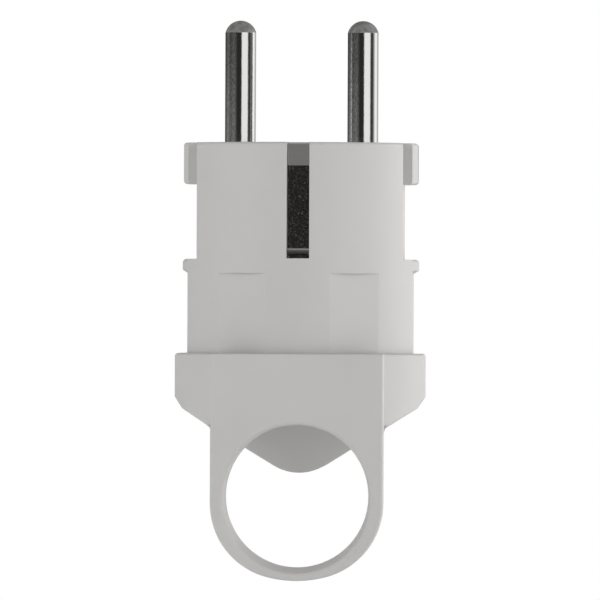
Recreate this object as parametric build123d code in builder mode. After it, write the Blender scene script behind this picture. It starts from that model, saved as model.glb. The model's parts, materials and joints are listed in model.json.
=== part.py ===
from build123d import *
import os
from math import cos, radians, sin, sqrt, tan

# Rewirable angled mains plug with a pull ring, in millimetres.
# The origin is the middle of the front face and the pins point along +Z.
# The pull ring is on the -Y side and the cord outlet on the +Y side.

# Fits
fit_clearance = 0.05
cover_clearance = 0.1

# Contact pins, with a terminal block behind the shoulder of each pin
pin_diameter = 4.8
pin_length = 19.0
pin_spacing = 19.0
pin_tip_height = 1.9
pin_seat_diameter = 5.4
pin_boss_diameter = 8.4
pin_boss_height = 4.0
terminal_width = 7.0
terminal_depth = 7.4
terminal_length = 10.0
terminal_edge = 0.6
wire_hole_diameter = 3.2
wire_hole_inset = 4.5

# Nose that enters the wall socket
nose_diameter = 36.7
nose_length = 18.0
ear_height = 2.45
nose_edge_radius = 0.5
ear_length = 6.4
ear_span = 12.0
ear_edge_radius = 0.5
guide_groove_width = 5.5
front_wall = 4.0
pocket_side_clearance = 0.8
pocket_corner_radius = 7.0
partition_width = 2.4

# Flange and finger grip
flange_thickness = 2.2
flange_lip = 0.95
flange_edge_radius = 0.6
flange_taper_width = 0.8
flange_taper_height = 0.5
grip_length = 12.4
grip_facet_angle = 29.0
grip_facet_depth = 0.5
grip_wall = 2.2
grip_pocket_inset = 0.8
spigot_length = 2.6

# Side earth contacts
strip_set_back = 2.05
earth_slot_width = 3.5
earth_slot_end_web = 0.08
earth_slot_end_gap = 0.5
strip_thickness = 0.8
strip_lead_length = 3.6
strip_lead_drop = 1.4
strip_front_gap = 0.3
strip_bend_radius = 1.2
slot_back_wall = 1.6
far_foot_length = 5.4

# Earth bridge, earth socket and earth terminal
earth_socket_offset = 10.0
earth_socket_bore = 4.9
earth_socket_wall = 0.65
earth_socket_base = 1.0
earth_socket_slit = 0.8
earth_socket_slit_length = 8.0
earth_socket_boss_wall = 1.2
earth_entry_mouth = 6.4
earth_entry_diameter = 5.2
earth_entry_depth = 3.0
rivet_diameter = 2.0
rivet_head_diameter = 3.6
rivet_head_height = 0.6
bridge_thickness = 0.8
bridge_width = 6.0
bridge_end_gap = 0.6
bridge_corner_radius = 1.0
earth_screw_offset = 7.6
earth_screw_boss_diameter = 6.4
clamp_washer_size = 6.0
clamp_washer_thickness = 1.0

# Slotted screws
small_screw_diameter = 3.0
small_screw_head_diameter = 5.4
small_screw_head_height = 2.0
terminal_screw_length = 5.2
earth_screw_length = 8.0
cord_screw_length = 7.6
assembly_screw_diameter = 3.5
assembly_screw_head_diameter = 6.0
assembly_screw_head_height = 2.2
assembly_screw_length = 29.0
assembly_screw_recess = 2.8
assembly_tube_diameter = 9.6
screw_slot_width = 0.8
screw_slot_depth = 1.0
screw_end_chamfer = 0.5

# Rear cover: collar, keel, pull ring and cord outlet
cover_wall = 1.8
rim_edge_radius = 0.5
collar_straight = 6.7
shoulder_width = 1.25
shoulder_drop = 1.8
shoulder_edge_radius = 0.8
keel_angle = 32.0
keel_radius = 7.4
keel_corner_radius = 2.0
keel_web_radius = 1.4
keel_web_thickness = 1.4
keel_wall = 1.8
tongue_width = 26.6
tongue_thickness = 5.6
tongue_proud = 0.1
tongue_edge_radius = 0.35
ring_length = 34.9
ring_side_width = 2.4
ring_foot_width = 2.15
ring_foot_flatness = 4.7
ring_corner_inset = 1.6
ring_hole_flare = 0.52
ring_hole_edge_radius = 0.6
bow_angle = 45.0
bow_setback = 1.6
bow_side_margin = 1.2
outlet_root_diameter = 14.6
outlet_end_diameter = 13.4
outlet_reach = 11.0
outlet_rise = 0.6
outlet_edge_radius = 0.8
cord_hole_diameter = 9.5
cover_post_diameter = 8.0
cover_post_hole_depth = 18.0

# Cord clamp
cord_clamp_screw_spacing = 18.4
cord_clamp_offset = 8.0
cord_clamp_width = 6.0
cord_clamp_thickness = 2.8
cord_clamp_edge = 0.5
cord_clamp_gap = 1.0
cord_clamp_arch = 0.8
cord_boss_hole_depth = 5.4

# Radii and levels worked out from the driving dimensions
nose_radius = nose_diameter / 2
nose_flat_width = nose_diameter - 2 * ear_height
grip_width = nose_diameter - 2 * flange_lip
earth_span = nose_diameter - 2 * strip_set_back
pin_radius = pin_diameter / 2
pin_seat_radius = pin_seat_diameter / 2
pin_x = pin_spacing / 2
pin_shoulder_z = -(front_wall + pin_boss_height)
terminal_rear_z = pin_shoulder_z - terminal_length
flange_z = -nose_length
flange_rear_z = flange_z - flange_thickness
rim_z = flange_rear_z - grip_length
body_rear_z = rim_z - spigot_length
spigot_ledge_z = body_rear_z - cover_clearance
slot_end_z = flange_z + earth_slot_end_web
foot_rear_z = slot_end_z + earth_slot_end_gap
foot_front_z = foot_rear_z + strip_thickness
bridge_rear_z = foot_rear_z - bridge_thickness
strip_face = earth_span / 2
slot_floor = strip_face - strip_thickness - fit_clearance
pocket_half_width = pin_x + terminal_width / 2 + pocket_side_clearance
pocket_half_depth = slot_floor - slot_back_wall
socket_outer_radius = earth_socket_bore / 2 + earth_socket_wall
small_hole_radius = small_screw_diameter / 2 + fit_clearance
assembly_hole_radius = assembly_screw_diameter / 2 + fit_clearance
screw_seat_z = -(assembly_screw_recess + assembly_screw_head_height)

collar_radius = nose_radius + cover_clearance + cover_wall
collar_half_width = grip_width / 2 + cover_clearance + cover_wall
inner_radius = nose_radius + cover_clearance
inner_half_width = grip_width / 2 + cover_clearance
keel_slope = tan(radians(keel_angle))
bow_slope = tan(radians(bow_angle))
keel_corner_z = rim_z - collar_straight
keel_start_x = collar_half_width - shoulder_width
keel_start_z = keel_corner_z - shoulder_drop
keel_point_z = keel_start_z - keel_start_x * keel_slope
keel_apex_z = keel_point_z + keel_radius * (1 / cos(radians(keel_angle)) - 1)
ring_foot_z = rim_z - ring_length
ring_hole_radius = tongue_width / 2 - ring_side_width
ring_hole_z = ring_foot_z + ring_foot_width + ring_hole_radius
tongue_front_y = -collar_radius - tongue_proud
tongue_back_y = tongue_front_y + tongue_thickness
bow_top_z = ring_hole_z + ring_hole_radius + bow_setback
bow_half_width = ring_hole_radius + bow_side_margin
cord_z = keel_apex_z + outlet_rise + outlet_root_diameter / 2
outlet_end_y = collar_radius + outlet_reach
clamp_seat_z = cord_z + cord_hole_diameter / 2 + cord_clamp_gap


def slotted_screw(diameter, length, head_diameter, head_height):
    """A cheese-head screw that points down, with the underside of its head at the origin."""
    with BuildPart() as screw:
        Cylinder(head_diameter / 2, head_height, align=(Align.CENTER, Align.CENTER, Align.MIN))
        chamfer(screw.edges().group_by(Axis.Z)[-1], head_height / 6)
        with BuildSketch(Plane.XY.offset(head_height)):
            Rectangle(head_diameter + screw_slot_width, screw_slot_width)
        extrude(amount=-screw_slot_depth, mode=Mode.SUBTRACT)
        Cylinder(diameter / 2, length, align=(Align.CENTER, Align.CENTER, Align.MAX))
        chamfer(screw.edges().group_by(Axis.Z)[0], screw_end_chamfer)
    return screw.part


def contact_pin(side):
    """A round pin with a domed tip and a thicker seat in the front wall, turned from one bar
    with its square terminal block."""
    tip_z = pin_length - pin_tip_height
    block_middle_z = (pin_shoulder_z + terminal_rear_z) / 2
    with BuildPart() as pin:
        with BuildSketch(Plane.XZ):
            with BuildLine():
                Polyline(
                    (0, pin_shoulder_z),
                    (pin_seat_radius, pin_shoulder_z),
                    (pin_seat_radius, 0),
                    (pin_radius, 0),
                    (pin_radius, tip_z),
                )
                # The dome is a spherical cap, so a fine edge stays where it meets the shank
                cap = (pin_radius**2 + pin_tip_height**2) / (2 * pin_tip_height)
                turn = radians(45)
                middle = (cap * sin(turn), pin_length - cap + cap * cos(turn))
                ThreePointArc((pin_radius, tip_z), middle, (0, pin_length))
                Line((0, pin_length), (0, pin_shoulder_z))
            make_face()
        revolve(axis=Axis.Z)
        with Locations((0, 0, block_middle_z)):
            Box(terminal_width, terminal_depth, terminal_length)
        block_edges = pin.edges().filter_by(Axis.Z).group_by(Axis.Y)
        chamfer(block_edges[0] + block_edges[-1], terminal_edge)
        # Wire hole across the block, met by the screw hole from behind
        with BuildSketch(Plane.XZ):
            with Locations((0, terminal_rear_z + wire_hole_inset)):
                Circle(wire_hole_diameter / 2)
        extrude(amount=terminal_depth, both=True, mode=Mode.SUBTRACT)
        with BuildSketch(Plane.XY.offset(terminal_rear_z)):
            Circle(small_hole_radius)
        extrude(amount=wire_hole_inset, mode=Mode.SUBTRACT)
    return pin.part.moved(Location((side * pin_x, 0, 0)))


def earth_contact(side, foot_end, rivet_hole):
    """A bent strip in a side slot of the nose, with a foot that passes through the wall."""
    inner_face = strip_face - strip_thickness
    with BuildPart() as strip:
        with BuildSketch(Plane.YZ):
            with BuildLine():
                Polyline(
                    (strip_face - strip_lead_drop, -strip_front_gap),
                    (strip_face, -strip_lead_length),
                    (strip_face, foot_rear_z),
                    (foot_end, foot_rear_z),
                    (foot_end, foot_front_z),
                    (inner_face, foot_front_z),
                    (inner_face, -strip_lead_length),
                    (inner_face - strip_lead_drop, -strip_front_gap),
                    close=True,
                )
            profile = make_face()
            bend = profile.vertices().group_by(Axis.Y)
            fillet(bend[0].sort_by(Axis.X)[-1], strip_bend_radius)
        extrude(amount=earth_slot_width / 2 - fit_clearance, both=True)
        if rivet_hole:
            with BuildSketch(Plane.XY.offset(foot_rear_z)):
                with Locations((0, earth_socket_offset)):
                    Circle(rivet_diameter / 2 + fit_clearance)
            extrude(amount=strip_thickness, mode=Mode.SUBTRACT)
    return strip.part if side > 0 else strip.part.rotate(Axis.Z, 180)


# Lips of the flange that stand out over the side flats, rounded in front and tapered behind
with BuildPart() as flange_lips:
    with BuildSketch(Plane.XZ):
        with BuildLine():
            Polyline(
                (0, flange_z),
                (nose_radius, flange_z),
                (nose_radius, flange_rear_z + flange_taper_height),
                (nose_radius - flange_taper_width, flange_rear_z),
                (0, flange_rear_z),
                close=True,
            )
        flange_section = make_face()
        flange_top = flange_section.vertices().group_by(Axis.Y)[-1]
        fillet(flange_top.sort_by(Axis.X)[-1], flange_edge_radius)
    revolve(axis=Axis.Z)
    with BuildSketch(Plane.XY.offset(flange_z)):
        Rectangle(grip_width, nose_diameter)
    extrude(amount=-flange_thickness, mode=Mode.SUBTRACT)

# Front body: nose, flange and finger grip in one moulding, open at the rear
with BuildPart() as front_body:
    with BuildSketch():
        Circle(nose_radius)
        Rectangle(nose_flat_width, nose_diameter, mode=Mode.INTERSECT)
    extrude(amount=-nose_length)
    with BuildSketch():
        Circle(nose_radius)
        Rectangle(nose_diameter, ear_span, mode=Mode.INTERSECT)
        Rectangle(nose_diameter, guide_groove_width, mode=Mode.SUBTRACT)
    extrude(amount=-ear_length)
    ear_feet = front_body.edges().filter_by(GeomType.CIRCLE)
    fillet(ear_feet.filter_by_position(Axis.Z, -ear_length, -ear_length), ear_edge_radius)
    front_face = front_body.faces().sort_by(Axis.Z)[-1]
    fillet(front_face.outer_wire().edges().filter_by(GeomType.CIRCLE), nose_edge_radius)

    # Round flange, and behind it the grip with side flats and four shallow thumb facets
    with BuildSketch(Plane.XY.offset(flange_z)):
        Circle(nose_radius)
        Rectangle(grip_width, nose_diameter, mode=Mode.INTERSECT)
    extrude(amount=-flange_thickness)
    add(flange_lips.part)
    with BuildSketch(Plane.XY.offset(flange_rear_z)):
        Circle(nose_radius)
        Rectangle(grip_width, nose_diameter, mode=Mode.INTERSECT)
        for middle in (90, 270):
            with PolarLocations(
                1.5 * nose_radius - grip_facet_depth,
                2,
                start_angle=middle - grip_facet_angle,
                angular_range=2 * grip_facet_angle,
                endpoint=True,
            ):
                Rectangle(nose_radius, nose_radius, mode=Mode.SUBTRACT)
    extrude(amount=body_rear_z - flange_rear_z)

    # Pockets for the terminals, moulded from the rear
    with BuildSketch(Plane.XY.offset(-front_wall)):
        RectangleRounded(2 * pocket_half_width, 2 * pocket_half_depth, pocket_corner_radius)
    extrude(amount=body_rear_z + front_wall, mode=Mode.SUBTRACT)
    grip_pocket_z = flange_rear_z - grip_pocket_inset
    with BuildSketch(Plane.XY.offset(grip_pocket_z)):
        Circle(nose_radius - grip_wall)
        Rectangle(grip_width - 2 * grip_wall, nose_diameter, mode=Mode.INTERSECT)
    extrude(amount=body_rear_z - grip_pocket_z, mode=Mode.SUBTRACT)

    # Pin bosses, the partition between the live chambers and the screw and earth bosses on it
    with BuildSketch(Plane.XY.offset(-front_wall)):
        with Locations((-pin_x, 0), (pin_x, 0)):
            Circle(pin_boss_diameter / 2)
    extrude(amount=-pin_boss_height)
    with BuildSketch(Plane.XY.offset(-front_wall)):
        Rectangle(partition_width, 2 * pocket_half_depth)
        with Locations((0, -earth_socket_offset)):
            Circle(socket_outer_radius + fit_clearance + earth_socket_boss_wall)
        with Locations((0, earth_screw_offset)):
            Circle(earth_screw_boss_diameter / 2)
    extrude(amount=foot_front_z + front_wall)
    with BuildSketch(Plane.XY.offset(-front_wall)):
        Circle(assembly_tube_diameter / 2)
    extrude(amount=foot_rear_z + front_wall)

    # Holes for the pins, the assembly screw, the earth pin of the wall socket and the earth screw
    with Locations((-pin_x, 0, 0), (pin_x, 0, 0)):
        Hole(pin_seat_radius + fit_clearance, -pin_shoulder_z)
    CounterBoreHole(
        assembly_hole_radius,
        assembly_screw_head_diameter / 2 + 4 * fit_clearance,
        -screw_seat_z,
        -foot_rear_z,
    )
    with Locations((0, -earth_socket_offset, -earth_entry_depth / 2)):
        Cone(
            earth_entry_diameter / 2,
            earth_entry_mouth / 2,
            earth_entry_depth,
            mode=Mode.SUBTRACT,
        )
    with BuildSketch(Plane.XY.offset(-earth_entry_depth)):
        with Locations((0, -earth_socket_offset)):
            Circle(socket_outer_radius + fit_clearance)
    extrude(amount=foot_front_z + earth_entry_depth, mode=Mode.SUBTRACT)
    with BuildSketch(Plane.XY.offset(foot_front_z)):
        with Locations((0, earth_screw_offset)):
            Circle(small_hole_radius)
    extrude(amount=earth_screw_length, mode=Mode.SUBTRACT)

    # Earth slots in the near and far sides, open to the front, each with a window for the strip's foot
    with BuildSketch(Plane.YZ):
        for side in (-1, 1):
            with BuildLine():
                Polyline(
                    (side * nose_diameter, 0),
                    (side * (slot_floor - strip_lead_drop), 0),
                    (side * (slot_floor - strip_lead_drop), -strip_front_gap),
                    (side * slot_floor, -strip_lead_length),
                    (side * slot_floor, foot_front_z + fit_clearance),
                    (side * pocket_half_depth, foot_front_z + fit_clearance),
                    (side * pocket_half_depth, slot_end_z),
                    (side * nose_diameter, slot_end_z),
                    close=True,
                )
            make_face()
    extrude(amount=earth_slot_width / 2, both=True, mode=Mode.SUBTRACT)

# Rear cover, first the hollow in it: open at the rim, with a keel-shaped floor
wall_offset = keel_wall / cos(radians(keel_angle))
with BuildPart() as cover_hollow:
    with BuildSketch(Plane.XY.offset(rim_z)):
        Circle(inner_radius)
        Rectangle(2 * inner_half_width, 2 * inner_radius, mode=Mode.INTERSECT)
    extrude(amount=keel_point_z - rim_z)
    with BuildSketch(Plane.XZ):
        with BuildLine():
            inner_point_z = keel_point_z + wall_offset
            inner_corner_z = inner_point_z + inner_half_width * keel_slope
            Polyline(
                (-inner_half_width, rim_z),
                (-inner_half_width, inner_corner_z),
                (0, inner_point_z),
                (inner_half_width, inner_corner_z),
                (inner_half_width, rim_z),
                close=True,
            )
        make_face()
    extrude(amount=collar_radius, both=True, mode=Mode.INTERSECT)
    # The wall behind the pull ring slopes with the bow, up to a ledge behind the spigot
    with BuildSketch(Plane.YZ):
        with BuildLine():
            inner_bow_z = bow_top_z + keel_wall / cos(radians(bow_angle))
            Polyline(
                (-2 * collar_radius, spigot_ledge_z),
                (tongue_back_y + (inner_bow_z - spigot_ledge_z) / bow_slope, spigot_ledge_z),
                (tongue_back_y + (inner_bow_z - keel_point_z) / bow_slope, keel_point_z),
                (-2 * collar_radius, keel_point_z),
                close=True,
            )
        make_face()
    extrude(amount=bow_half_width + keel_wall, both=True, mode=Mode.SUBTRACT)
    # Left standing in the hollow: the screw post and the two bosses of the cord clamp
    with BuildSketch(Plane.XY.offset(rim_z)):
        Circle(cover_post_diameter / 2)
    extrude(amount=keel_point_z - rim_z, mode=Mode.SUBTRACT)
    with BuildSketch(Plane.XY.offset(clamp_seat_z)):
        with Locations((0, cord_clamp_offset)):
            with GridLocations(cord_clamp_screw_spacing, 0, 2, 1):
                Circle(cord_clamp_width / 2)
    extrude(amount=keel_point_z - clamp_seat_z, mode=Mode.SUBTRACT)

# Pull ring: a flat tongue with a flattened foot, and a finger hole that flares down to the front
with BuildPart() as pull_ring:
    foot_radius = tongue_width / 2 + ring_foot_flatness
    foot_corner_z = ring_foot_z + foot_radius - sqrt(foot_radius**2 - (tongue_width / 2) ** 2)
    with BuildSketch(Plane.XZ.offset(-tongue_front_y)):
        with BuildLine():
            Polyline(
                (tongue_width / 2, foot_corner_z),
                (tongue_width / 2, rim_z),
                (-tongue_width / 2, rim_z),
                (-tongue_width / 2, foot_corner_z),
            )
            ThreePointArc(
                (-tongue_width / 2, foot_corner_z),
                (0, ring_foot_z),
                (tongue_width / 2, foot_corner_z),
            )
        plate = make_face()
        fillet(plate.vertices().group_by(Axis.Y)[0], tongue_width / 2 - ring_corner_inset)
    extrude(amount=-tongue_thickness)
    plate_edges = pull_ring.edges().group_by(Axis.Y)
    fillet(plate_edges[0] + plate_edges[-1], tongue_edge_radius)
    with BuildSketch(Plane.XZ.offset(-tongue_front_y)) as hole_front:
        with Locations((0, ring_hole_z - ring_hole_flare)):
            Circle(ring_hole_radius + ring_hole_flare)
    with BuildSketch(Plane.XZ.offset(-tongue_back_y)) as hole_back:
        with Locations((0, ring_hole_z)):
            Circle(ring_hole_radius)
    loft([hole_front.sketch, hole_back.sketch], ruled=True, mode=Mode.SUBTRACT)
    for end in (0, -1):
        face = pull_ring.faces().sort_by(Axis.Y)[end]
        fillet(face.inner_wires()[0].edges(), ring_hole_edge_radius)

# Rear cover: collar and keel with the pull ring and the cord outlet
with BuildPart() as rear_cover:
    with BuildSketch(Plane.XY.offset(rim_z)):
        Circle(collar_radius)
        Rectangle(2 * collar_half_width, 2 * collar_radius, mode=Mode.INTERSECT)
    extrude(amount=keel_point_z - rim_z)
    with BuildSketch(Plane.XZ):
        with BuildLine():
            Polyline(
                (-collar_half_width, rim_z),
                (-collar_half_width, keel_corner_z),
                (-keel_start_x, keel_start_z),
                (0, keel_point_z),
                (keel_start_x, keel_start_z),
                (collar_half_width, keel_corner_z),
                (collar_half_width, rim_z),
                close=True,
            )
        keel = make_face()
        levels = keel.vertices().group_by(Axis.Y)
        fillet(levels[0], keel_radius)
        fillet(levels[1], keel_corner_radius)
        fillet(levels[2], shoulder_edge_radius)
    extrude(amount=collar_radius, both=True, mode=Mode.INTERSECT)
    fillet(rear_cover.faces().sort_by(Axis.Z)[-1].outer_wire().edges(), rim_edge_radius)
    # The bow: the keel is cut back behind the finger hole
    with BuildSketch(Plane.YZ):
        with BuildLine():
            Polyline(
                (-collar_radius, bow_top_z),
                (tongue_back_y, bow_top_z),
                (tongue_back_y + (bow_top_z - keel_point_z) / bow_slope, keel_point_z),
                (-collar_radius, keel_point_z),
                close=True,
            )
        make_face()
    extrude(amount=bow_half_width, both=True, mode=Mode.SUBTRACT)
    add(pull_ring.part)
    # Concave webs that round the corners between the keel and the sides of the ring
    web_corner_z = keel_point_z + tongue_width / 2 * keel_slope
    web_reach = keel_web_radius * tan(radians(90 - keel_angle) / 2)
    with BuildSketch(Plane.XZ.offset(keel_web_thickness / 2 - tongue_back_y)):
        for side in (-1, 1):
            run = (-side * cos(radians(keel_angle)), -sin(radians(keel_angle)))
            corner = (side * tongue_width / 2, web_corner_z)
            on_keel = (corner[0] - web_reach * run[0], corner[1] - web_reach * run[1])
            on_ring = (corner[0], corner[1] - web_reach)
            inside = (corner[0] - side * web_reach / 2, corner[1] + web_reach / 2)
            with BuildLine():
                Polyline(on_ring, inside, on_keel)
                TangentArc(on_keel, on_ring, tangent=run)
            make_face()
    extrude(amount=-keel_web_thickness)
    # Cord outlet: a round tapered spout on the far side
    with BuildSketch(Plane.YZ):
        with BuildLine():
            Polyline(
                (0, cord_z),
                (0, cord_z + outlet_root_diameter / 2),
                (collar_radius, cord_z + outlet_root_diameter / 2),
                (outlet_end_y, cord_z + outlet_end_diameter / 2),
                (outlet_end_y, cord_z),
                close=True,
            )
        make_face()
    revolve(axis=Axis((0, 0, cord_z), (0, 1, 0)))
    add(cover_hollow.part, mode=Mode.SUBTRACT)
    with BuildSketch(Plane.XZ.offset(-outlet_end_y)):
        with Locations((0, cord_z)):
            Circle(cord_hole_diameter / 2)
    extrude(amount=outlet_end_y - cord_clamp_offset - cord_clamp_width / 2, mode=Mode.SUBTRACT)
    outlet_mouth = rear_cover.faces().sort_by(Axis.Y)[-1]
    fillet(outlet_mouth.edges(), outlet_edge_radius)
    # Screw post that reaches the earth bridge, and the clamp's screw holes
    with BuildSketch(Plane.XY.offset(bridge_rear_z)):
        Circle(cover_post_diameter / 2)
    extrude(amount=rim_z - bridge_rear_z)
    with Locations((0, 0, bridge_rear_z)):
        Hole(assembly_hole_radius, cover_post_hole_depth)
    with Locations((0, cord_clamp_offset, clamp_seat_z)):
        with GridLocations(cord_clamp_screw_spacing, 0, 2, 1):
            Hole(small_hole_radius, cord_boss_hole_depth)

# Contact pins and their terminal screws
left_pin = contact_pin(-1)
right_pin = contact_pin(1)
with BuildPart() as terminal_screws:
    with Locations(*[Pos(x, 0, terminal_rear_z) * Rot(X=180) for x in (-pin_x, pin_x)]):
        add(
            slotted_screw(
                small_screw_diameter,
                terminal_screw_length,
                small_screw_head_diameter,
                small_screw_head_height,
            )
        )

# Side earth contacts: the near foot reaches under the earth socket, the far foot is short
near_earth_contact = earth_contact(-1, earth_socket_offset - rivet_head_diameter / 2, True)
far_earth_contact = earth_contact(1, strip_face - far_foot_length, False)

# Earth bridge: a flat plate that joins both contacts, the socket and the earth terminal
with BuildPart() as earth_bridge:
    with BuildSketch(Plane.XY.offset(foot_rear_z)):
        RectangleRounded(bridge_width, 2 * (pocket_half_depth - bridge_end_gap), bridge_corner_radius)
        Circle(assembly_hole_radius, mode=Mode.SUBTRACT)
        with Locations((0, -earth_socket_offset)):
            Circle(rivet_diameter / 2 + fit_clearance, mode=Mode.SUBTRACT)
        with Locations((0, earth_screw_offset)):
            Circle(small_hole_radius, mode=Mode.SUBTRACT)
    extrude(amount=-bridge_thickness)

# Earth socket: a slit sleeve that grips the earth pin of the wall socket, riveted to the bridge
with BuildPart() as earth_socket:
    with BuildSketch(Plane.XY.offset(-earth_entry_depth)):
        with Locations((0, -earth_socket_offset)):
            Circle(socket_outer_radius)
    extrude(amount=foot_front_z + earth_entry_depth)
    with BuildSketch(Plane.XY.offset(-earth_entry_depth)):
        with Locations((0, -earth_socket_offset)):
            Circle(earth_socket_bore / 2)
    extrude(amount=foot_front_z + earth_socket_base + earth_entry_depth, mode=Mode.SUBTRACT)
    with BuildSketch(Plane.XY.offset(-earth_entry_depth)):
        with Locations((0, -earth_socket_offset)):
            Rectangle(2 * socket_outer_radius, earth_socket_slit)
    extrude(amount=-earth_socket_slit_length, mode=Mode.SUBTRACT)
    with BuildSketch(Plane.XY.offset(foot_front_z)):
        with Locations((0, -earth_socket_offset)):
            Circle(rivet_diameter / 2)
    extrude(amount=bridge_rear_z - foot_front_z)
    with BuildSketch(Plane.XY.offset(bridge_rear_z)):
        with Locations((0, -earth_socket_offset)):
            Circle(rivet_head_diameter / 2)
    extrude(amount=-rivet_head_height)
    fillet(earth_socket.edges().group_by(Axis.Z)[0], rivet_head_height / 2)

# Earth terminal: a square washer clamped on the bridge by a screw
with BuildPart() as earth_clamp_washer:
    with BuildSketch(Plane.XY.offset(bridge_rear_z)):
        with Locations((0, earth_screw_offset)):
            Rectangle(clamp_washer_size, clamp_washer_size)
            Circle(small_hole_radius, mode=Mode.SUBTRACT)
    extrude(amount=-clamp_washer_thickness)
    chamfer(earth_clamp_washer.edges().filter_by(Axis.Z), clamp_washer_thickness / 2)
with BuildPart() as earth_terminal_screw:
    with Locations(Pos(0, earth_screw_offset, bridge_rear_z - clamp_washer_thickness) * Rot(X=180)):
        add(
            slotted_screw(
                small_screw_diameter,
                earth_screw_length,
                small_screw_head_diameter,
                small_screw_head_height,
            )
        )

# Cord clamp: a bar with rounded ends, arched over the cord, and its two screws
with BuildPart() as cord_clamp:
    with BuildSketch(Plane.XY.offset(clamp_seat_z)):
        with Locations((0, cord_clamp_offset)):
            SlotCenterToCenter(cord_clamp_screw_spacing, cord_clamp_width)
            with GridLocations(cord_clamp_screw_spacing, 0, 2, 1):
                Circle(small_hole_radius, mode=Mode.SUBTRACT)
    extrude(amount=cord_clamp_thickness)
    chamfer(cord_clamp.faces().sort_by(Axis.Z)[-1].outer_wire().edges(), cord_clamp_edge)
    arch_radius = cord_hole_diameter / 2 + cord_clamp_gap + cord_clamp_arch
    with BuildSketch(Plane.XZ.offset(-cord_clamp_offset)):
        with Locations((0, cord_z)):
            Circle(arch_radius)
    extrude(amount=cord_clamp_width, both=True, mode=Mode.SUBTRACT)
with BuildPart() as cord_clamp_screws:
    with Locations((0, cord_clamp_offset, clamp_seat_z + cord_clamp_thickness)):
        with GridLocations(cord_clamp_screw_spacing, 0, 2, 1):
            add(
                slotted_screw(
                    small_screw_diameter,
                    cord_screw_length,
                    small_screw_head_diameter,
                    small_screw_head_height,
                )
            )

# Assembly screw from the front face into the post of the rear cover
with BuildPart() as assembly_screw:
    with Locations((0, 0, screw_seat_z)):
        add(
            slotted_screw(
                assembly_screw_diameter,
                assembly_screw_length,
                assembly_screw_head_diameter,
                assembly_screw_head_height,
            )
        )

pieces = {
    "front_body": front_body.part,
    "rear_cover": rear_cover.part,
    "left_pin": left_pin,
    "right_pin": right_pin,
    "terminal_screws": terminal_screws.part,
    "near_earth_contact": near_earth_contact,
    "far_earth_contact": far_earth_contact,
    "earth_bridge": earth_bridge.part,
    "earth_socket": earth_socket.part,
    "earth_clamp_washer": earth_clamp_washer.part,
    "earth_terminal_screw": earth_terminal_screw.part,
    "cord_clamp": cord_clamp.part,
    "cord_clamp_screws": cord_clamp_screws.part,
    "assembly_screw": assembly_screw.part,
}
os.makedirs("parts", exist_ok=True)
for name, piece in pieces.items():
    piece.label = name
    export_step(piece, f"parts/{name}.step")
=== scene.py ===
import json
import math

import bmesh
import bpy
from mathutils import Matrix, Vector


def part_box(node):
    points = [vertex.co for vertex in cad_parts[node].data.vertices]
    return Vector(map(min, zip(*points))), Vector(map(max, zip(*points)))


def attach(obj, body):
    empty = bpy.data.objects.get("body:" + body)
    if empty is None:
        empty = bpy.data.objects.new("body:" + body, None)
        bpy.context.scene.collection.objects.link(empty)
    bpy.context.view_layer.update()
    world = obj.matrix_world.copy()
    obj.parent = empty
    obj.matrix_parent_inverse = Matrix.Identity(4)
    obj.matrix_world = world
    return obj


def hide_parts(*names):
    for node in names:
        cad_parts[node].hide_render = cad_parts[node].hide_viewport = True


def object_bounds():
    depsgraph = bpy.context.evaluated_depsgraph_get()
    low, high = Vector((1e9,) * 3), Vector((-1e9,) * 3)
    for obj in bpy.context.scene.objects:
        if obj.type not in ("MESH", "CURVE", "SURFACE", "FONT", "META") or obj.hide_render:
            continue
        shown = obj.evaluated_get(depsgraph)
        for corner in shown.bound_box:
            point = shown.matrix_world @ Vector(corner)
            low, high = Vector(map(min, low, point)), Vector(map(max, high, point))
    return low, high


bl_info = {
    "name": "Angled Plug",
    "version": (1, 0, 0),
    "blender": (4, 5, 0),
    "location": "View3D > Sidebar > Plug",
    "description": "Finishes, threaded screws and studio for an earthed angled plug with a pull ring",
    "category": "Object",
}

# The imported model, whose nodes stay where they are, and its box before anything is added
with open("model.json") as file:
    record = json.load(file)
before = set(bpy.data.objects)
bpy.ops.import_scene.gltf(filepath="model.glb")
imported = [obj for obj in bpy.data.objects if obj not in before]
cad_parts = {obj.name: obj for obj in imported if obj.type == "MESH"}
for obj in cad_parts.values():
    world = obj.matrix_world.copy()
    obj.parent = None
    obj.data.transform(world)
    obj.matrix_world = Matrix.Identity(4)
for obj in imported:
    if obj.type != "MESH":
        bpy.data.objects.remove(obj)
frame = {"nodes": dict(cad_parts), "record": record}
CAD_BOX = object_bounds()
SLOT_COLOURS = {slot["slot"]: slot["base_color"] for slot in frame["record"]["materials"]}
BODY = "root"
MM = 0.001

# Brightness of the room in mirrors by azimuth in degrees: 0 is the camera's side and 90 is +X
ROOM_PANELS = (
    (-180, 0.12),
    (-140, 0.06),
    (-120, 0.13),
    (-105, 0.2),
    (-92, 0.13),
    (-79, 0.09),
    (-65, 0.12),
    (-50, 0.145),
    (-38, 0.11),
    (-24, 0.025),
    (7, 0.025),
    (12, 1.0),
    (54, 1.0),
    (60, 0.05),
    (79, 0.05),
    (90, 0.35),
    (104, 1.1),
    (124, 1.1),
    (138, 0.4),
    (160, 0.6),
)
WALL_STRENGTH = 1.25
CEILING_STRENGTH = 0.52

# Steepness of a direction, from 0 for level to 1 for upright, where walls turn into ceiling or ground
WALL_END = 0.45
CEILING_START = 0.9

# Softboxes by name, with azimuth and elevation in degrees, width and height in metres
SOFTBOXES = (
    ("key", 62, 5, 0.7, 1.0),
    ("side", 110, 5, 0.7, 1.0),
    ("fill", -55, 5, 0.5, 1.0),
    ("back", -155, 10, 0.5, 1.0),
)
SOFTBOX_DISTANCE = 0.7

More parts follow.
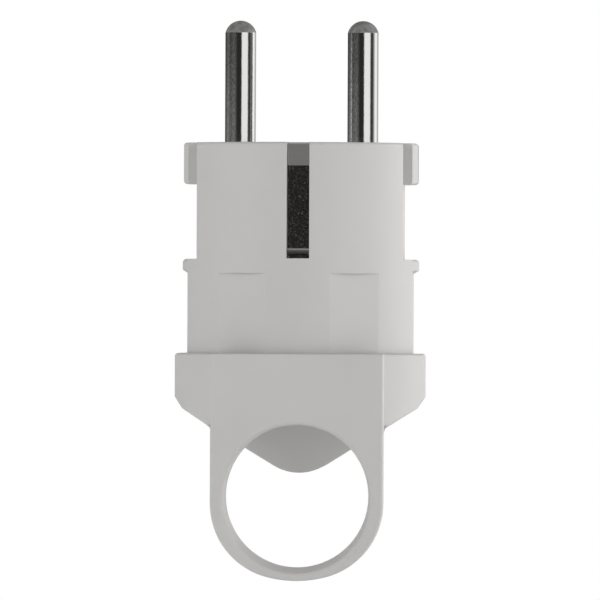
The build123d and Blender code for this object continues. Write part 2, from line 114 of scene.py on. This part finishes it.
# Colours between which the floor's paper varies, size of its grain, and sides of the round sheet
PAPER_DARK = (0.93, 0.93, 0.93)
PAPER_LIGHT = (0.95, 0.95, 0.95)
PAPER_GRAIN = 0.6 * MM
FLOOR_SIDES = 96

# Most values of a noise lie between these two
NOISE_LOW = 0.3
NOISE_HIGH = 0.7

# Facets of the screws, and the inputs of their node tree
SHANK_SIDES = 32
RINGS_PER_TURN = 6
HEAD_SIDES = 48
HEAD_RINGS = 5
CHAMFER_SLOPE = 0.8
SCREW_INPUTS = (
    "Shank",
    "Length",
    "Head",
    "Head Height",
    "Pitch",
    "Depth",
    "Slot Width",
    "Slot Depth",
    "Turn",
)


def colour_property(label, slot, words):
    """A colour that starts from the record's colour of a material slot."""
    return bpy.props.FloatVectorProperty(
        name=label,
        description=words,
        subtype="COLOR",
        size=3,
        min=0.0,
        max=1.0,
        default=SLOT_COLOURS[slot],
    )


def length_property(label, value, words):
    """A length in metres."""
    return bpy.props.FloatProperty(
        name=label, description=words, subtype="DISTANCE", unit="LENGTH", precision=5, default=value
    )


def share_property(label, value, words):
    """A plain number from zero up."""
    return bpy.props.FloatProperty(name=label, description=words, min=0.0, default=value)


class PlugColours(bpy.types.PropertyGroup):
    """Base colours of the finishes."""

    plastic: colour_property("Plastic", "grey_plastic", "Light grey of the body and the rear cover")
    clamp: colour_property("Clamp", "clamp_plastic", "Darker grey of the cord clamp")
    nickel: colour_property("Nickel", "nickel_plate", "Plating of the contact pins")
    strip: colour_property("Strip", "contact_strip", "Rolled strip of the earth contacts")
    brass: colour_property("Brass", "bare_brass", "Drawn sleeve of the earth socket")
    zinc: colour_property("Zinc", "zinc_steel", "Plating of the screws and the washer")


class PlugSurfaces(bpy.types.PropertyGroup):
    """Scale of the surface detail."""

    mottle_size: length_property("Mottle", 9 * MM, "Size of the soft clouds in the plastic")
    pore_size: length_property("Pores", 0.28 * MM, "Size of the moulded grain on the plastic")
    pore_depth: length_property("Pore depth", 0.012 * MM, "Depth of the moulded grain")
    turning_pitch: length_property("Turning pitch", 0.16 * MM, "Distance between marks on the pins")
    tip_level: length_property("Tip level", 17.1 * MM, "Height where the matt pin tips begin")
    speckle_size: length_property("Speckle", 0.22 * MM, "Size of the grains on the earth strips")
    spangle_size: length_property("Spangle", 0.6 * MM, "Size of the crystals in the zinc")


class PlugScrews(bpy.types.PropertyGroup):
    """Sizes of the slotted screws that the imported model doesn't give."""

    small_shank: length_property("Small shank", 3.0 * MM, "Thread diameter of the inner screws")
    small_head: length_property("Small head", 2.0 * MM, "Head height of the inner screws")
    long_shank: length_property("Long shank", 3.5 * MM, "Thread diameter of the assembly screw")
    long_head: length_property("Long head", 2.2 * MM, "Head height of the assembly screw")
    thread_pitch: length_property("Pitch", 0.6 * MM, "Distance between two turns of the thread")
    thread_depth: length_property("Thread depth", 0.32 * MM, "Depth of the thread below its crest")
    slot_width: length_property("Slot width", 0.8 * MM, "Width of the driver slot")
    slot_depth: length_property("Slot depth", 1.0 * MM, "Depth of the driver slot")


class PlugStudio(bpy.types.PropertyGroup):
    """Camera, lamps and surroundings."""

    camera_distance: length_property("Camera distance", 2.0, "From the camera to the axis of the plug")
    camera_azimuth: bpy.props.FloatProperty(
        name="Camera azimuth",
        description="Turn of the camera round the plug, towards +X",
        subtype="ANGLE",
        unit="ROTATION",
        default=math.radians(1.66),
    )
    camera_roll: bpy.props.FloatProperty(
        name="Camera roll",
        description="Turn of the camera about its line of sight",
        subtype="ANGLE",
        unit="ROTATION",
        default=math.radians(0.25),
    )
    frame_width: length_property("Frame width", 93.1 * MM, "Width of the picture at the axis of the plug")
    frame_centre_x: length_property("Frame centre X", -0.14 * MM, "Middle of the picture beside the axis")
    frame_centre_z: length_property("Frame centre Z", -24.32 * MM, "Middle of the picture along the axis")
    floor_gap: length_property("Floor gap", 35 * MM, "From the pull ring down to the floor")
    floor_radius: length_property("Floor radius", 0.42, "Where the floor has faded into the surroundings")
    ambient: share_property("Ambient", 0.23, "Even light from all round on matt surfaces")
    key_power: share_property("Key power", 4.9, "Power of the softbox in front on the right, in watts")
    side_power: share_property("Side power", 3.8, "Power of the softbox behind on the right, in watts")
    fill_power: share_property("Fill power", 4.8, "Power of the softbox on the left, in watts")
    back_power: share_property("Back power", 2.5, "Power of the softbox behind on the left, in watts")


class Field:
    """An output socket of a node tree. Arithmetic on it adds Math nodes to that tree."""

    def __init__(self, graph, socket):
        self.graph = graph
        self.socket = socket

    def maths(self, operation, *others):
        """A Math node on this value and others."""
        return self.graph.maths(operation, self, *others)

    def __add__(self, other):
        return self.graph.maths("ADD", self, other)

    def __radd__(self, other):
        return self.graph.maths("ADD", other, self)

    def __sub__(self, other):
        return self.graph.maths("SUBTRACT", self, other)

    def __rsub__(self, other):
        return self.graph.maths("SUBTRACT", other, self)

    def __mul__(self, other):
        return self.graph.maths("MULTIPLY", self, other)

    def __rmul__(self, other):
        return self.graph.maths("MULTIPLY", other, self)

    def __truediv__(self, other):
        return self.graph.maths("DIVIDE", self, other)

    def __rtruediv__(self, other):
        return self.graph.maths("DIVIDE", other, self)

    def __neg__(self):
        return self.graph.maths("MULTIPLY", self, -1.0)

    def __abs__(self):
        return self.graph.maths("ABSOLUTE", self)


class Graph:
    """A node tree that is built from nothing."""

    def __init__(self, tree):
        self.tree = tree
        tree.nodes.clear()

    def node(self, kind, settings=None, sockets=None, output=0):
        """Adds a node: its settings first, then the values or links of its sockets."""
        node = self.tree.nodes.new(kind)
        for name, value in (settings or {}).items():
            if name == "stops":
                self.set_stops(node.color_ramp, value)
            else:
                setattr(node, name, value)
        for name, value in (sockets or {}).items():
            if isinstance(value, Field):
                self.tree.links.new(value.socket, node.inputs[name])
            else:
                node.inputs[name].default_value = value
        return Field(self, node.outputs[output]) if len(node.outputs) else None

    def maths(self, operation, *values):
        """A Math node with these values in order."""
        return self.node("ShaderNodeMath", {"operation": operation}, dict(enumerate(values)))

    def set_stops(self, ramp, stops):
        """Gives a colour ramp its stops, each a place and a grey level."""
        while len(ramp.elements) < len(stops):
            ramp.elements.new(1.0)
        for element, (place, grey) in zip(ramp.elements, stops):
            element.position = place
            element.color = (grey, grey, grey, 1.0)

    def split(self, vector):
        """The three parts of a vector."""
        kind = "ShaderNodeSeparateXYZ"
        return [self.node(kind, sockets={"Vector": vector}, output=axis) for axis in "XYZ"]

    def join(self, *parts):
        """Several geometries as one."""
        joint = self.tree.nodes.new("GeometryNodeJoinGeometry")
        for part in parts:
            self.tree.links.new(part.socket, joint.inputs[0])
        return Field(self, joint.outputs[0])

    def between(self, value, low, high, at_low, at_high):
        """A value that goes smoothly from one level to another between two places."""
        sockets = {"Value": value, "From Min": low, "From Max": high, "To Min": at_low, "To Max": at_high}
        return self.node("ShaderNodeMapRange", {"interpolation_type": "SMOOTHSTEP"}, sockets)

    def blend(self, factor, first, second):
        """A colour between two colours."""
        sockets = {0: factor, 6: (*first, 1.0), 7: (*second, 1.0)}
        return self.node("ShaderNodeMix", {"data_type": "RGBA"}, sockets, output=2)


class Finish(Graph):
    """A material with Object coordinates, noise at a real size and one principled shader."""

    def __init__(self, name):
        self.material = bpy.data.materials.new(name)
        self.material.use_nodes = True
        super().__init__(self.material.node_tree)
        self.place = self.node("ShaderNodeTexCoord", output="Object")

    def stretched(self, scale):
        """Object coordinates stretched along an axis, for grain that runs one way."""
        return self.node("ShaderNodeMapping", sockets={"Vector": self.place, "Scale": scale})

    def noise(self, size, detail=2.0, place=None):
        """Soft noise from 0 to 1 whose spots have this size in metres."""
        sockets = {"Vector": place or self.place, "Scale": 1.0 / size, "Detail": detail}
        return self.node("ShaderNodeTexNoise", sockets=sockets)

    def spread(self, noise, at_low, at_high):
        """A noise drawn out from one level to another."""
        return self.between(noise, NOISE_LOW, NOISE_HIGH, at_low, at_high)

    def facing(self):
        """The three parts of the direction in which the surface looks."""
        return self.split(self.node("ShaderNodeNewGeometry", output="Normal"))

    def cells(self, size):
        """A random grey for each cell of this size in metres."""
        sockets = {"Vector": self.place, "Scale": 1.0 / size}
        colour = self.node("ShaderNodeTexVoronoi", sockets=sockets, output="Color")
        return self.node("ShaderNodeSeparateColor", sockets={"Color": colour})

    def bump(self, height, distance, strength):
        """A normal that follows a height from 0 to 1, this many metres deep."""
        sockets = {"Height": height, "Distance": distance, "Strength": strength}
        return self.node("ShaderNodeBump", sockets=sockets)

    def surface(self, **sockets):
        """Closes the material with a principled shader."""
        named = {name.replace("_", " "): value for name, value in sockets.items()}
        shader = self.node("ShaderNodeBsdfPrincipled", sockets=named)
        self.node("ShaderNodeOutputMaterial", sockets={"Surface": shader})
        return self.material


def scaled(colour, factor):
    """A colour made lighter or darker."""
    return tuple(min(channel * factor, 1.0) for channel in colour)


def moulded_plastic(name, colour, surfaces):
    """Satin plastic with faint clouds and the fine grain of an eroded mould."""
    finish = Finish(name)
    clouds = finish.noise(surfaces.mottle_size, detail=3.0)
    pores = finish.noise(surfaces.pore_size)
    return finish.surface(
        Base_Color=finish.blend(clouds, scaled(colour, 0.97), scaled(colour, 1.03)),
        Roughness=0.42 + 0.12 * clouds + 0.05 * pores,
        IOR=1.46,
        Normal=finish.bump(pores, surfaces.pore_depth, 0.5),
    )


def turned_nickel(colour, surfaces):
    """Bright plating over fine turning marks and a blotchy matt tip, with a painted reflection on the -X
    side: grain, and a tone that is lighter near the body and darker towards the tip.
    """
    finish = Finish("turned_nickel")
    pitch, tip_level = surfaces.turning_pitch, surfaces.tip_level
    round_the_pin = finish.stretched((0.02, 0.02, 1.0))
    along_the_pin = finish.stretched((1.0, 1.0, 0.3))
    rings = finish.noise(pitch, detail=3.0, place=round_the_pin)
    pits = finish.noise(pitch, place=along_the_pin)
    haze = finish.noise(16 * pitch)
    blotches = finish.noise(5 * pitch)
    height = finish.split(finish.place)[2]
    tip = finish.between(height, tip_level, tip_level + 0.1 * MM, 0.0, 1.0)
    # Painted reflection on the side that faces -X: grain from the pits is put into the base colour there
    painted_reflection_side = finish.between(finish.facing()[0], -0.3, -0.15, 1.0, 0.0)
    grain = finish.spread(pits, -0.22, 0.22)
    # Painted reflection tone on that side: lighter near the body, darker towards the tip
    painted_reflection_ramp = finish.between(height, 0.0, tip_level, 0.16, -0.2)
    bright = 0.6 + painted_reflection_side * (grain + painted_reflection_ramp)
    matt = finish.spread(blotches, 0.04, 0.15)
    tone = bright * (1 - tip) + matt * tip
    return finish.surface(
        Base_Color=finish.blend(tone, scaled(colour, 0.2), scaled(colour, 1.5)),
        Metallic=1 - 0.7 * tip,
        Roughness=0.06 + 0.05 * rings + 0.06 * haze + 0.5 * tip,
        Normal=finish.bump(pits, 0.1 * pitch, 0.3),
    )


def rolled_strip(colour, surfaces):
    """Dull strip, speckled and slightly pitted where it is flat, and smooth in its bends."""
    finish = Finish("rolled_strip")
    speckles = finish.noise(surfaces.speckle_size, detail=4.0)
    grains = finish.cells(surfaces.speckle_size)
    level = abs(finish.facing()[2])
    flat = finish.between(level, 0.05, 0.2, 1.0, 0.0) + finish.between(level, 0.9, 0.98, 0.0, 1.0)
    specks = finish.between(speckles, 0.45, 0.75, 0.0, 1.0) * flat + 0.15 * (1 - flat)
    return finish.surface(
        Base_Color=finish.blend(specks, scaled(colour, 1.3), scaled(colour, 2.4)),
        Metallic=1.0,
        Roughness=0.08 + 0.15 * grains * grains,
        Normal=finish.bump(speckles * flat, 0.05 * surfaces.speckle_size, 0.3),
    )


def drawn_brass(colour, surfaces):
    """Brass with drawing lines along the sleeve and a little tarnish."""
    finish = Finish("drawn_brass")
    lines = finish.noise(surfaces.speckle_size, place=finish.stretched((1.0, 1.0, 0.04)))
    tarnish = finish.noise(10 * surfaces.speckle_size, detail=4.0)
    return finish.surface(
        Base_Color=finish.blend(tarnish, scaled(colour, 1.1), scaled(colour, 0.6)),
        Metallic=1.0,
        Roughness=0.22 + 0.2 * tarnish,
        Normal=finish.bump(lines, 0.02 * surfaces.speckle_size, 0.5),
    )


def zinc_plating(colour, surfaces):
    """Pale zinc with faint crystals."""
    finish = Finish("zinc_plating")
    crystals = finish.cells(surfaces.spangle_size)
    dust = finish.noise(surfaces.spangle_size / 3)
    return finish.surface(
        Base_Color=finish.blend(crystals, scaled(colour, 0.85), scaled(colour, 1.15)),
        Metallic=1.0,
        Roughness=0.26 + 0.12 * crystals + 0.08 * dust,
        Normal=finish.bump(dust, 0.02 * surfaces.spangle_size, 0.4),
    )


def paint(material, *nodes):
    """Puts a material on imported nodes."""
    for node in nodes:
        for slot in frame["nodes"][node].material_slots:
            slot.material = material


class PLUG_OT_mouldings(bpy.types.Operator):
    """Finish the front body, the rear cover and the cord clamp in moulded plastic"""

    bl_idname = "plug.mouldings"
    bl_label = "Mouldings"

    def execute(self, context):
        colours, surfaces = context.scene.plug_colours, context.scene.plug_surfaces
        paint(moulded_plastic("grey_plastic", colours.plastic, surfaces), "front_body", "rear_cover")
        paint(moulded_plastic("clamp_plastic", colours.clamp, surfaces), "cord_clamp")
        return {"FINISHED"}


class PLUG_OT_pins(bpy.types.Operator):
    """Finish both contact pins in turned nickel"""

    bl_idname = "plug.pins"
    bl_label = "Contact pins"

    def execute(self, context):
        nickel = turned_nickel(context.scene.plug_colours.nickel, context.scene.plug_surfaces)
        paint(nickel, "left_pin", "right_pin")
        return {"FINISHED"}


class PLUG_OT_earth(bpy.types.Operator):
    """Finish the earth contacts, their bridge, the earth socket and the clamp washer"""

    bl_idname = "plug.earth"
    bl_label = "Earth contacts"

    def execute(self, context):
        colours, surfaces = context.scene.plug_colours, context.scene.plug_surfaces
        strip = rolled_strip(colours.strip, surfaces)
        paint(strip, "near_earth_contact", "far_earth_contact", "earth_bridge")
        paint(drawn_brass(colours.brass, surfaces), "earth_socket")
        paint(zinc_plating(colours.zinc, surfaces), "earth_clamp_washer")
        return {"FINISHED"}


def screw_nodes():
    """Geometry Nodes that set a slotted screw with a cut thread on each point, its head up."""
    tree = bpy.data.node_groups.new("threaded_screw", "GeometryNodeTree")
    tree.interface.new_socket("Geometry", in_out="OUTPUT", socket_type="NodeSocketGeometry")
    tree.interface.new_socket("Seats", in_out="INPUT", socket_type="NodeSocketGeometry")
    for name in SCREW_INPUTS:
        tree.interface.new_socket(name, in_out="INPUT", socket_type="NodeSocketFloat")
    tree.interface.new_socket("Finish", in_out="INPUT", socket_type="NodeSocketMaterial")
    graph = Graph(tree)
    names = ("Seats", *SCREW_INPUTS, "Finish")
    given = {name: graph.node("NodeGroupInput", output=name) for name in names}
    place = graph.node("GeometryNodeInputPosition")
    x, y, z = graph.split(place)

    def lathe(radius, height, base, sides, rings):
        """A closed cylinder that stands on a level."""
        bar = graph.node(
            "GeometryNodeMeshCylinder",
            sockets={"Vertices": sides, "Side Segments": rings, "Radius": radius, "Depth": height},
        )
        lift = graph.node("ShaderNodeCombineXYZ", sockets={"Z": base + height / 2})
        return graph.node("GeometryNodeTransform", sockets={"Geometry": bar, "Translation": lift})

    def turned(bar, share):
        """The same cylinder with its radius multiplied by a share that may vary."""
        spot = graph.node("ShaderNodeCombineXYZ", sockets={"X": x * share, "Y": y * share, "Z": z})
        return graph.node("GeometryNodeSetPosition", sockets={"Geometry": bar, "Position": spot})

    # Shank: the thread follows a helix, runs out below the head and ends in a chamfer
    radius, length = given["Shank"] / 2, given["Length"]
    grip = given["Head Height"] / 4
    turns = length / given["Pitch"]
    shank = lathe(radius, length + grip, -length, SHANK_SIDES, turns * RINGS_PER_TURN)
    helix = (z / given["Pitch"] + y.maths("ARCTAN2", x) / math.tau).maths("FRACT")
    run_out = graph.between(z, -2 * given["Pitch"], 0.0, 1.0, 0.0)
    groove = given["Depth"] * abs(2 * helix - 1) * run_out
    chamfer = (given["Pitch"] - length - z).maths("MAXIMUM", 0.0)
    shank = turned(shank, 1 - (groove + CHAMFER_SLOPE * chamfer) / radius)
    shank = graph.node("GeometryNodeSetShadeSmooth", sockets={"Geometry": shank})

    # Head: a cylinder with a broken top edge and a straight slot
    head = lathe(given["Head"] / 2, given["Head Height"], 0.0, HEAD_SIDES, HEAD_RINGS)
    top_ring = z.maths("GREATER_THAN", given["Head Height"] * 0.95)
    broken_edge = given["Head Height"] / given["Head"] / 3
    head = turned(head, 1 - top_ring * broken_edge)
    size = {"X": 2 * given["Head"], "Y": given["Slot Width"], "Z": 2 * given["Slot Depth"]}
    size = graph.node("ShaderNodeCombineXYZ", sockets=size)
    cutter = graph.node("GeometryNodeMeshCube", sockets={"Size": size})
    top = graph.node("ShaderNodeCombineXYZ", sockets={"Z": given["Head Height"]})
    cutter = graph.node("GeometryNodeTransform", sockets={"Geometry": cutter, "Translation": top})
    cut = {"operation": "DIFFERENCE", "solver": "EXACT"}
    head = graph.node("GeometryNodeMeshBoolean", cut, {"Mesh 1": head, "Mesh 2": cutter})

    # Shank and head as one closed mesh, set on every seat
    weld = {"operation": "UNION", "solver": "EXACT"}
    sockets = {"Mesh 2": graph.join(shank, head), "Self Intersection": True}
    screw = graph.node("GeometryNodeMeshBoolean", weld, sockets)
    turn = graph.node("ShaderNodeCombineXYZ", sockets={"X": given["Turn"]})
    sockets = {"Points": given["Seats"], "Instance": screw, "Rotation": turn}
    placed = graph.node("GeometryNodeInstanceOnPoints", sockets=sockets)
    real = graph.node("GeometryNodeRealizeInstances", sockets={"Geometry": placed})
    sockets = {"Geometry": real, "Material": given["Finish"]}
    finished = graph.node("GeometryNodeSetMaterial", sockets=sockets)
    graph.node("NodeGroupOutput", sockets={"Geometry": finished})
    return tree


def set_screws(tree, node, values, heads_up, finish):
    """Replaces a packed screw node with threaded screws in the same seats."""
    low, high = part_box(node)
    head = high.y - low.y
    seat = high.z - values["Head Height"] if heads_up else low.z + values["Head Height"]
    length = (high.z - low.z) - values["Head Height"]
    places = [low.x + head / 2]
    holds_two = high.x - low.x > 1.5 * head
    if holds_two:
        places.append(high.x - head / 2)
    points = bpy.data.meshes.new(node + "_seats")
    points.from_pydata([(place, (low.y + high.y) / 2, seat) for place in places], [], [])
    holder = bpy.data.objects.new(node + "_seats", points)
    bpy.context.collection.objects.link(holder)
    modifier = holder.modifiers.new("screws", "NODES")
    modifier.node_group = tree
    turn = 0.0 if heads_up else math.pi
    values = {**values, "Head": head, "Length": length, "Turn": turn, "Finish": finish}
    for item in tree.interface.items_tree:
        if item.in_out == "INPUT" and item.name in values:
            modifier[item.identifier] = values[item.name]
    bpy.context.view_layer.update()
    evaluated = holder.evaluated_get(bpy.context.evaluated_depsgraph_get())
    mesh = bpy.data.meshes.new_from_object(evaluated)
    holder.modifiers.remove(modifier)
    bpy.data.objects.remove(holder)
    screws = bpy.data.objects.new("threaded_" + node, mesh)
    bpy.context.collection.objects.link(screws)
    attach(screws, BODY)
    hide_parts(node)


class PLUG_OT_screws(bpy.types.Operator):
    """Put threaded screws in the terminals, the cord clamp and the assembly post"""

    bl_idname = "plug.screws"
    bl_label = "Screws"

    def execute(self, context):
        sizes = context.scene.plug_screws
        finish = zinc_plating(context.scene.plug_colours.zinc, context.scene.plug_surfaces)
        tree = screw_nodes()
        common = {
            "Pitch": sizes.thread_pitch,
            "Depth": sizes.thread_depth,
            "Slot Width": sizes.slot_width,
            "Slot Depth": sizes.slot_depth,
        }
        small = {**common, "Shank": sizes.small_shank, "Head Height": sizes.small_head}
        long = {**common, "Shank": sizes.long_shank, "Head Height": sizes.long_head}
        set_screws(tree, "terminal_screws", small, False, finish)
        set_screws(tree, "earth_terminal_screw", small, False, finish)
        set_screws(tree, "cord_clamp_screws", small, True, finish)
        set_screws(tree, "assembly_screw", long, True, finish)
        return {"FINISHED"}


def camera_direction(azimuth, elevation=0.0):
    """The way from the plug to a camera or lamp: azimuth 0 is the pull ring side, and +X is positive."""
    level = math.cos(elevation)
    return Vector((math.sin(azimuth) * level, -math.cos(azimuth) * level, math.sin(elevation)))


def aim(thing, target):
    """Turns a camera or lamp to look at a point."""
    thing.rotation_euler = (target - thing.location).to_track_quat("-Z", "Y").to_euler()


def add_camera(studio):
    """A level camera with a long lens, at the angle of the picture."""
    lens = bpy.data.cameras.new("camera")
    lens.sensor_width = 36.0
    lens.lens = lens.sensor_width * studio.camera_distance / studio.frame_width
    lens.clip_start = 0.01
    camera = bpy.data.objects.new("camera", lens)
    bpy.context.collection.objects.link(camera)
    toward = camera_direction(studio.camera_azimuth)
    across = Vector((math.cos(studio.camera_azimuth), math.sin(studio.camera_azimuth), 0.0))
    target = across * studio.frame_centre_x + Vector((0.0, 0.0, studio.frame_centre_z))
    camera.location = target + toward * studio.camera_distance
    aim(camera, target)
    camera.rotation_euler.rotate_axis("Z", studio.camera_roll)
    bpy.context.scene.camera = camera


def add_softbox(name, azimuth, elevation, width, height, power):
    """A flat rectangular lamp that faces the plug and shows neither to the camera nor in mirrors."""
    light = bpy.data.lights.new(name, "AREA")
    light.shape = "RECTANGLE"
    light.size = width
    light.size_y = height
    light.energy = power
    lamp = bpy.data.objects.new(name, light)
    bpy.context.collection.objects.link(lamp)
    target = (CAD_BOX[0] + CAD_BOX[1]) / 2
    toward = camera_direction(math.radians(azimuth), math.radians(elevation))
    lamp.location = target + toward * SOFTBOX_DISTANCE
    aim(lamp, target)
    lamp.visible_camera = False
    lamp.visible_glossy = False


def add_floor(gap, radius):
    """A pale round floor that fades into the white surroundings and can be seen through from below."""
    finish = Finish("pale_floor")
    length = {"operation": "LENGTH"}
    from_middle = finish.node("ShaderNodeVectorMath", length, {0: finish.place}, output="Value")
    underside = finish.node("ShaderNodeNewGeometry", output="Backfacing")
    fade_start = 0.2 * radius
    fade = finish.between(from_middle, fade_start, radius, 1.0, 0.0) * (1 - underside)
    paper = finish.noise(PAPER_GRAIN)
    material = finish.surface(
        Base_Color=finish.blend(paper, PAPER_DARK, PAPER_LIGHT),
        Roughness=0.9,
        Alpha=fade,
    )
    sheet = bmesh.new()
    bmesh.ops.create_circle(sheet, cap_ends=True, radius=radius, segments=FLOOR_SIDES)
    mesh = bpy.data.meshes.new("floor")
    sheet.to_mesh(mesh)
    sheet.free()
    mesh.materials.append(material)
    floor = bpy.data.objects.new("floor", mesh)
    floor.location.z = CAD_BOX[0].z - gap
    bpy.context.collection.objects.link(floor)


def light_world(ambient):
    """White for the camera, even light for matt surfaces, and a dim room with panels for mirrors."""
    world = bpy.data.worlds.new("studio")
    bpy.context.scene.world = world
    world.use_nodes = True
    graph = Graph(world.node_tree)
    camera_ray = graph.node("ShaderNodeLightPath", output="Is Camera Ray")
    glossy_ray = graph.node("ShaderNodeLightPath", output="Is Glossy Ray")
    direction = graph.node("ShaderNodeTexCoord", output="Generated")
    x, y, z = graph.split(direction)
    turn = x.maths("ARCTAN2", -y) / math.tau + 0.5
    stops = [((azimuth + 180) / 360, grey) for azimuth, grey in ROOM_PANELS]
    panels = graph.node("ShaderNodeValToRGB", {"stops": stops}, {"Fac": turn})
    walls = graph.node("ShaderNodeSeparateColor", sockets={"Color": panels})
    level = graph.between(abs(z), WALL_END, CEILING_START, 1.0, 0.0)
    room = WALL_STRENGTH * walls * level + CEILING_STRENGTH * (1 - level)
    strength = camera_ray + (1 - camera_ray) * (glossy_ray * room + (1 - glossy_ray) * ambient)
    light = graph.node("ShaderNodeBackground", sockets={"Color": (1, 1, 1, 1), "Strength": strength})
    graph.node("ShaderNodeOutputWorld", sockets={"Surface": light})


class PLUG_OT_studio(bpy.types.Operator):
    """Set up the floor, the lamps, the white surroundings and the camera"""

    bl_idname = "plug.studio"
    bl_label = "Studio"

    def execute(self, context):
        studio = context.scene.plug_studio
        context.scene.view_settings.view_transform = "Standard"
        light_world(studio.ambient)
        add_floor(studio.floor_gap, studio.floor_radius)
        for name, azimuth, elevation, width, height in SOFTBOXES:
            power = getattr(studio, name + "_power")
            add_softbox(name + "_softbox", azimuth, elevation, width, height, power)
        add_camera(studio)
        return {"FINISHED"}


OPERATORS = (PLUG_OT_mouldings, PLUG_OT_pins, PLUG_OT_earth, PLUG_OT_screws, PLUG_OT_studio)


class PLUG_PT_sidebar(bpy.types.Panel):
    """The plug's settings and its build steps, in order"""

    bl_label = "Angled Plug"
    bl_space_type = "VIEW_3D"
    bl_region_type = "UI"
    bl_category = "Plug"

    def draw(self, context):
        for name in SETTINGS:
            box = self.layout.box()
            group = getattr(context.scene, name)
            for key in group.bl_rna.properties.keys():
                if key not in ("rna_type", "name"):
                    box.prop(group, key)
        for operator in OPERATORS:
            self.layout.operator(operator.bl_idname)


SETTINGS = {
    "plug_colours": PlugColours,
    "plug_surfaces": PlugSurfaces,
    "plug_screws": PlugScrews,
    "plug_studio": PlugStudio,
}
CLASSES = (*SETTINGS.values(), *OPERATORS, PLUG_PT_sidebar)


def register():
    for item in CLASSES:
        bpy.utils.register_class(item)
    for name, group in SETTINGS.items():
        setattr(bpy.types.Scene, name, bpy.props.PointerProperty(type=group))


def unregister():
    for name in SETTINGS:
        delattr(bpy.types.Scene, name)
    for item in reversed(CLASSES):
        bpy.utils.unregister_class(item)


def main():
    register()
    bpy.ops.plug.mouldings()
    bpy.ops.plug.pins()
    bpy.ops.plug.earth()
    bpy.ops.plug.screws()
    bpy.ops.plug.studio()


if __name__ == "__main__":
    main()
